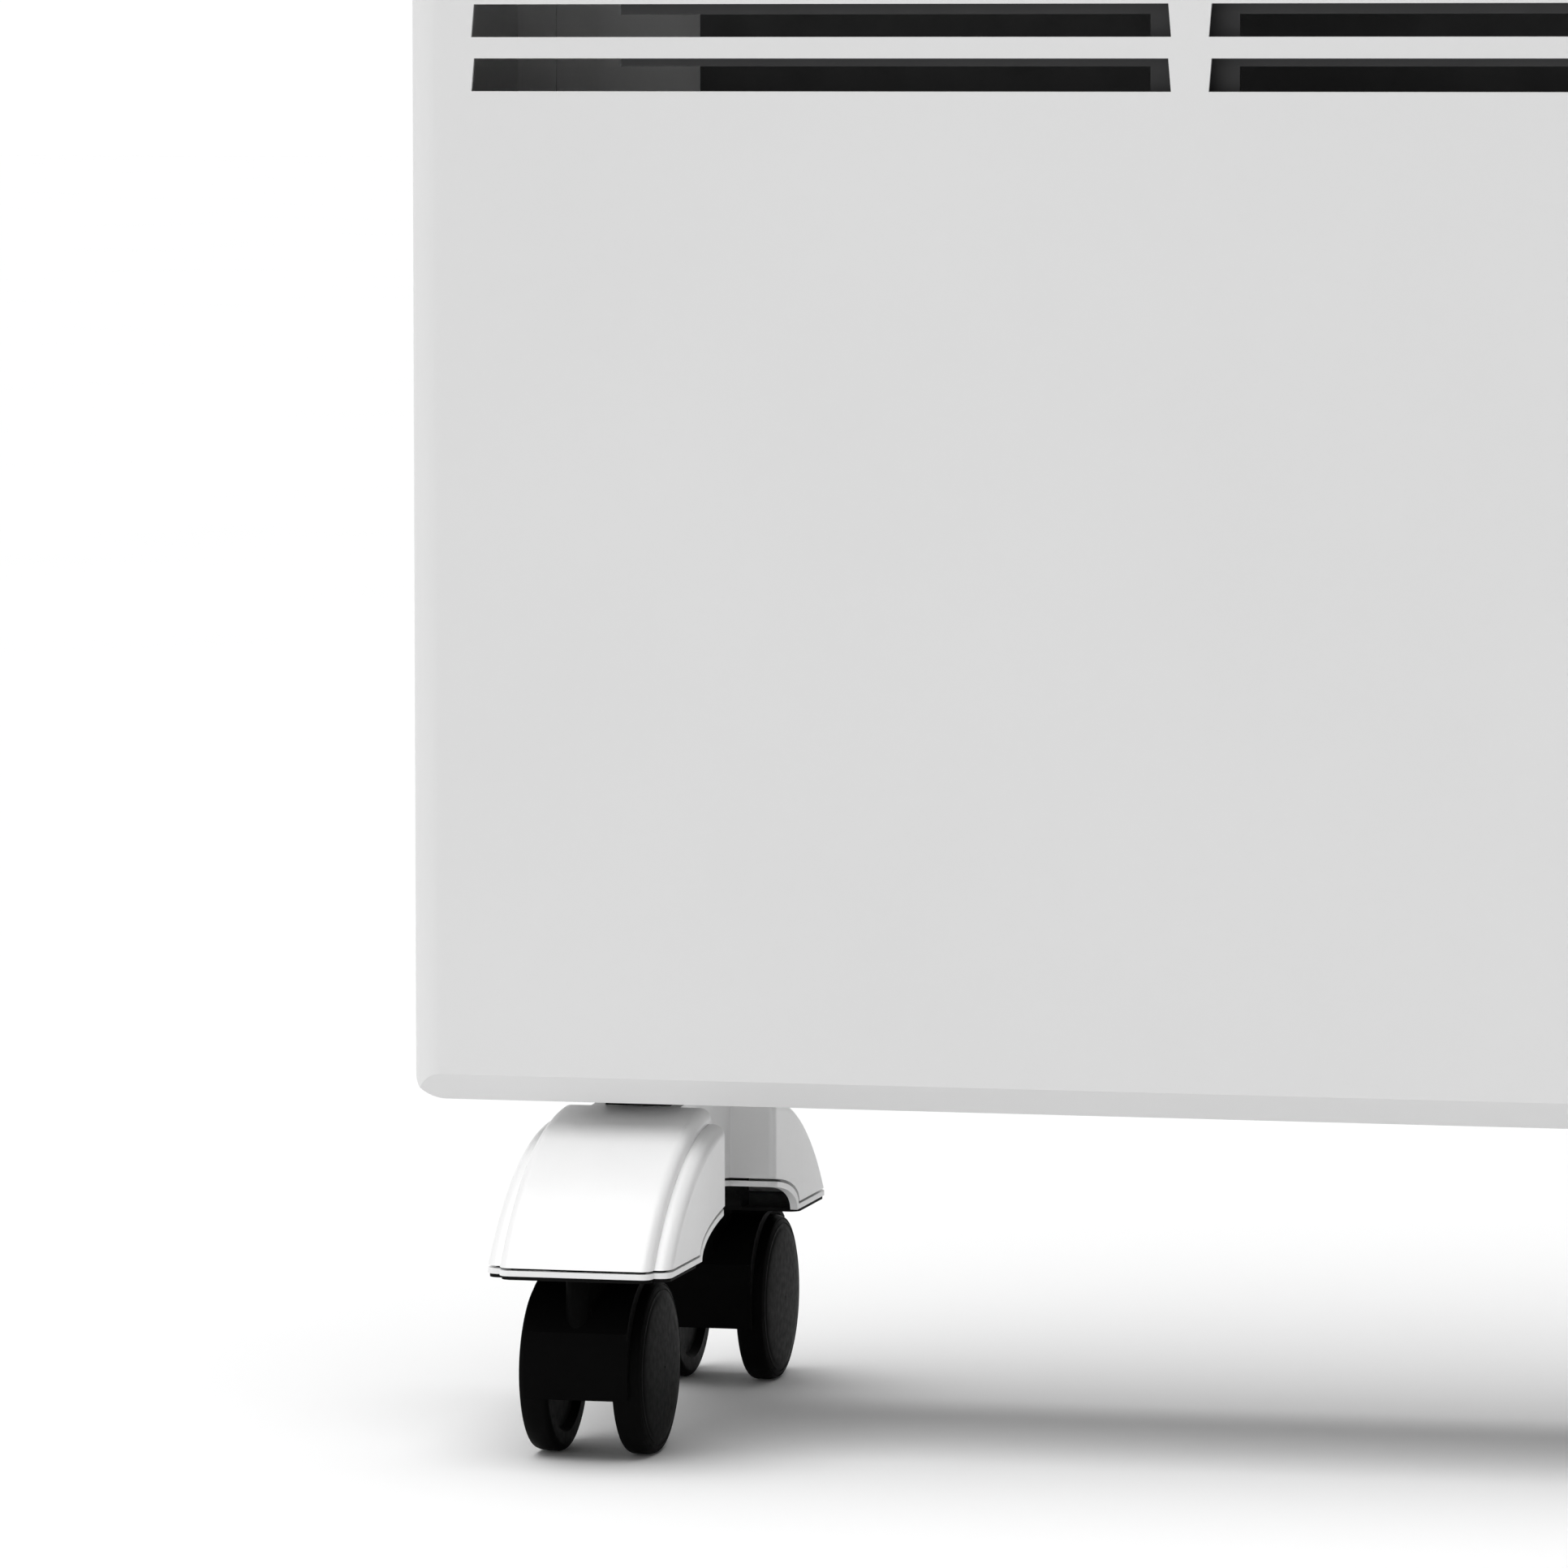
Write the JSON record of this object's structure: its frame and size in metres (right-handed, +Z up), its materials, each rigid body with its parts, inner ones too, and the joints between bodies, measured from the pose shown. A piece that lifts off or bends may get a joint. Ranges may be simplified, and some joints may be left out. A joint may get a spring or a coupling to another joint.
{
  "type": "panel convector heater",
  "caption": "Free-standing electric panel convector heater: slotted sheet-metal body on two arched feet with hooded twin-wheel castors, side controls.",
  "frame": {"origin": "on the floor, at the centre of the outline seen from above", "axes": "+Z up, front faces -Y, +X along the width with the controls on the +X side"},
  "size_m": [0.83, 0.2004, 0.494],
  "materials": {
    "body_enamel": "smooth satin white powder coat",
    "dark_sheet": "dark grey coated sheet",
    "galvanised": "bright zinc coating",
    "element_aluminium": "extruded, dull",
    "bright_steel": "zinc plated",
    "ceramic_white": "unglazed",
    "black_fitting": "fine moulded",
    "terminal_cream": "moulded",
    "wire_insulation": "smooth",
    "panel_plastic": "fine moulded texture",
    "knob_plastic": "fine moulded texture",
    "rocker_plastic": "polished",
    "lamp_amber": "clear tinted",
    "brass_weight": "turned",
    "foot_white": "semi-gloss moulded",
    "foot_black": "glass-filled nylon",
    "hood_black": "satin nylon",
    "wheel_black": "satin nylon"
  },
  "bodies": {
    "root": {"air_deflector": "dark_sheet", "castor_sockets_left": "bright_steel", "castor_sockets_right": "bright_steel", "ceramic_insulators": "ceramic_white", "control_panel": "panel_plastic", "control_wires": "wire_insulation", "cord_gland": "black_fitting", "cover_screws": "bright_steel", "element_bracket_left": "galvanised", "element_bracket_right": "galvanised", "element_core": "bright_steel", "element_fins": "element_aluminium", "foot_cover_left": "foot_white", "foot_cover_right": "foot_white", "foot_frame_left": "foot_black", "foot_frame_right": "foot_black", "foot_nuts": "bright_steel", "foot_screws": "bright_steel", "foot_trim_left": "foot_white", "foot_trim_right": "foot_white", "front_casing": "body_enamel", "heat_shield": "dark_sheet", "indicator_lamp": "lamp_amber", "inlet_grille": "dark_sheet", "outlet_louvre": "dark_sheet", "rear_cover": "body_enamel", "switch_lower_body": "black_fitting", "switch_upper_body": "black_fitting", "terminal_block": "terminal_cream", "thermal_cutout": "black_fitting", "thermostat_body": "black_fitting", "tip_switch_housing": "black_fitting"},
    "castor_front_left": {"castor_front_left_hood": "hood_black", "castor_front_left_kingpin": "bright_steel", "castor_front_left_axle": "bright_steel"},
    "castor_front_left_wheel_left": {"castor_front_left_wheel_left": "wheel_black"},
    "castor_front_left_wheel_right": {"castor_front_left_wheel_right": "wheel_black"},
    "castor_rear_left": {"castor_rear_left_hood": "hood_black", "castor_rear_left_kingpin": "bright_steel", "castor_rear_left_axle": "bright_steel"},
    "castor_rear_left_wheel_left": {"castor_rear_left_wheel_left": "wheel_black"},
    "castor_rear_left_wheel_right": {"castor_rear_left_wheel_right": "wheel_black"},
    "castor_front_right": {"castor_front_right_hood": "hood_black", "castor_front_right_kingpin": "bright_steel", "castor_front_right_axle": "bright_steel"},
    "castor_front_right_wheel_left": {"castor_front_right_wheel_left": "wheel_black"},
    "castor_front_right_wheel_right": {"castor_front_right_wheel_right": "wheel_black"},
    "castor_rear_right": {"castor_rear_right_hood": "hood_black", "castor_rear_right_kingpin": "bright_steel", "castor_rear_right_axle": "bright_steel"},
    "castor_rear_right_wheel_left": {"castor_rear_right_wheel_left": "wheel_black"},
    "castor_rear_right_wheel_right": {"castor_rear_right_wheel_right": "wheel_black"},
    "thermostat_dial": {"thermostat_knob": "knob_plastic", "thermostat_spindle": "bright_steel"},
    "switch_upper_rocker": {"switch_upper_rocker": "rocker_plastic"},
    "switch_lower_rocker": {"switch_lower_rocker": "rocker_plastic"},
    "tip_switch_pendulum": {"tip_switch_pendulum": "brass_weight"}
  },
  "joints": [
    {"name": "castor_front_left_swivel", "type": "hinge", "parent": "root", "child": "castor_front_left", "pos_m": [-0.362, -0.0752, 0.05], "axis": [0, 0, 1], "continuous": true},
    {"name": "castor_front_left_wheel_left_spin", "type": "hinge", "parent": "castor_front_left", "child": "castor_front_left_wheel_left", "pos_m": [-0.362, -0.0612, 0.0234], "axis": [1, 0, 0], "continuous": true},
    {"name": "castor_front_left_wheel_right_spin", "type": "hinge", "parent": "castor_front_left", "child": "castor_front_left_wheel_right", "pos_m": [-0.362, -0.0612, 0.0234], "axis": [1, 0, 0], "continuous": true},
    {"name": "castor_rear_left_swivel", "type": "hinge", "parent": "root", "child": "castor_rear_left", "pos_m": [-0.362, 0.0628, 0.05], "axis": [0, 0, 1], "continuous": true},
    {"name": "castor_rear_left_wheel_left_spin", "type": "hinge", "parent": "castor_rear_left", "child": "castor_rear_left_wheel_left", "pos_m": [-0.362, 0.0768, 0.0234], "axis": [1, 0, 0], "continuous": true},
    {"name": "castor_rear_left_wheel_right_spin", "type": "hinge", "parent": "castor_rear_left", "child": "castor_rear_left_wheel_right", "pos_m": [-0.362, 0.0768, 0.0234], "axis": [1, 0, 0], "continuous": true},
    {"name": "castor_front_right_swivel", "type": "hinge", "parent": "root", "child": "castor_front_right", "pos_m": [0.362, -0.0752, 0.05], "axis": [0, 0, 1], "continuous": true},
    {"name": "castor_front_right_wheel_left_spin", "type": "hinge", "parent": "castor_front_right", "child": "castor_front_right_wheel_left", "pos_m": [0.362, -0.0612, 0.0234], "axis": [1, 0, 0], "continuous": true},
    {"name": "castor_front_right_wheel_right_spin", "type": "hinge", "parent": "castor_front_right", "child": "castor_front_right_wheel_right", "pos_m": [0.362, -0.0612, 0.0234], "axis": [1, 0, 0], "continuous": true},
    {"name": "castor_rear_right_swivel", "type": "hinge", "parent": "root", "child": "castor_rear_right", "pos_m": [0.362, 0.0628, 0.05], "axis": [0, 0, 1], "continuous": true},
    {"name": "castor_rear_right_wheel_left_spin", "type": "hinge", "parent": "castor_rear_right", "child": "castor_rear_right_wheel_left", "pos_m": [0.362, 0.0768, 0.0234], "axis": [1, 0, 0], "continuous": true},
    {"name": "castor_rear_right_wheel_right_spin", "type": "hinge", "parent": "castor_rear_right", "child": "castor_rear_right_wheel_right", "pos_m": [0.362, 0.0768, 0.0234], "axis": [1, 0, 0], "continuous": true},
    {"name": "thermostat_turn", "type": "hinge", "parent": "root", "child": "thermostat_dial", "pos_m": [0.398, -0.0062, 0.425], "axis": [-1, 0, 0], "range_deg": [0, 270]},
    {"name": "switch_upper_rock", "type": "hinge", "parent": "root", "child": "switch_upper_rocker", "pos_m": [0.394, -0.0062, 0.372], "axis": [0, 0, -1], "range_deg": [0, 20]},
    {"name": "switch_lower_rock", "type": "hinge", "parent": "root", "child": "switch_lower_rocker", "pos_m": [0.394, -0.0062, 0.34], "axis": [0, 0, -1], "range_deg": [0, 20]},
    {"name": "tip_switch_swing", "type": "hinge", "parent": "root", "child": "tip_switch_pendulum", "pos_m": [-0.385, -0.0062, 0.126], "axis": [1, 0, 0], "range_deg": [-20, 20]}
  ]
}
